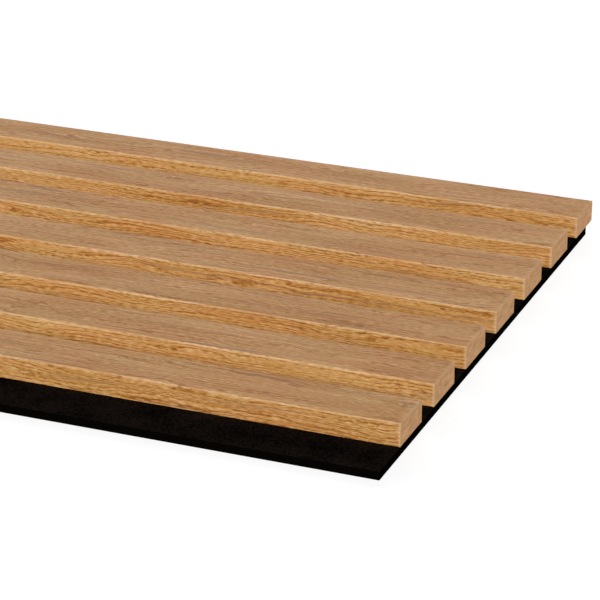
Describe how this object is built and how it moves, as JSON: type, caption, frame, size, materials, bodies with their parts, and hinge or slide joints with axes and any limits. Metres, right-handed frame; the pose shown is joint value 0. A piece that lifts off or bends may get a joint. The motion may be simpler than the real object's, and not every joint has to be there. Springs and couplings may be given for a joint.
{
  "type": "slatted wall panel",
  "caption": "Long slatted wall panel: wood-wrapped slats glued on a black felt sheet, with a felt lip along one edge and an overhanging slat along the other, for lapping panels.",
  "frame": {"origin": "on the back of the felt, at the middle of the panel's outline", "axes": "+X along the slats, +Y across them from the felt lip to the overhanging slat, +Z out of the wall"},
  "size_m": [2.4, 0.288, 0.014],
  "materials": {
    "oak_wrap": "satin oak-grain wrap",
    "core_board": "sawn fibreboard",
    "black_felt": "pressed felt"
  },
  "bodies": {
    "root": {"felt_backing": "black_felt", "slat_core_1": "core_board", "slat_wrap_1": "oak_wrap", "slat_core_2": "core_board", "slat_wrap_2": "oak_wrap", "slat_core_3": "core_board", "slat_wrap_3": "oak_wrap", "slat_core_4": "core_board", "slat_wrap_4": "oak_wrap", "slat_core_5": "core_board", "slat_wrap_5": "oak_wrap", "slat_core_6": "core_board", "slat_wrap_6": "oak_wrap", "slat_core_7": "core_board", "slat_wrap_7": "oak_wrap"}
  },
  "joints": []
}
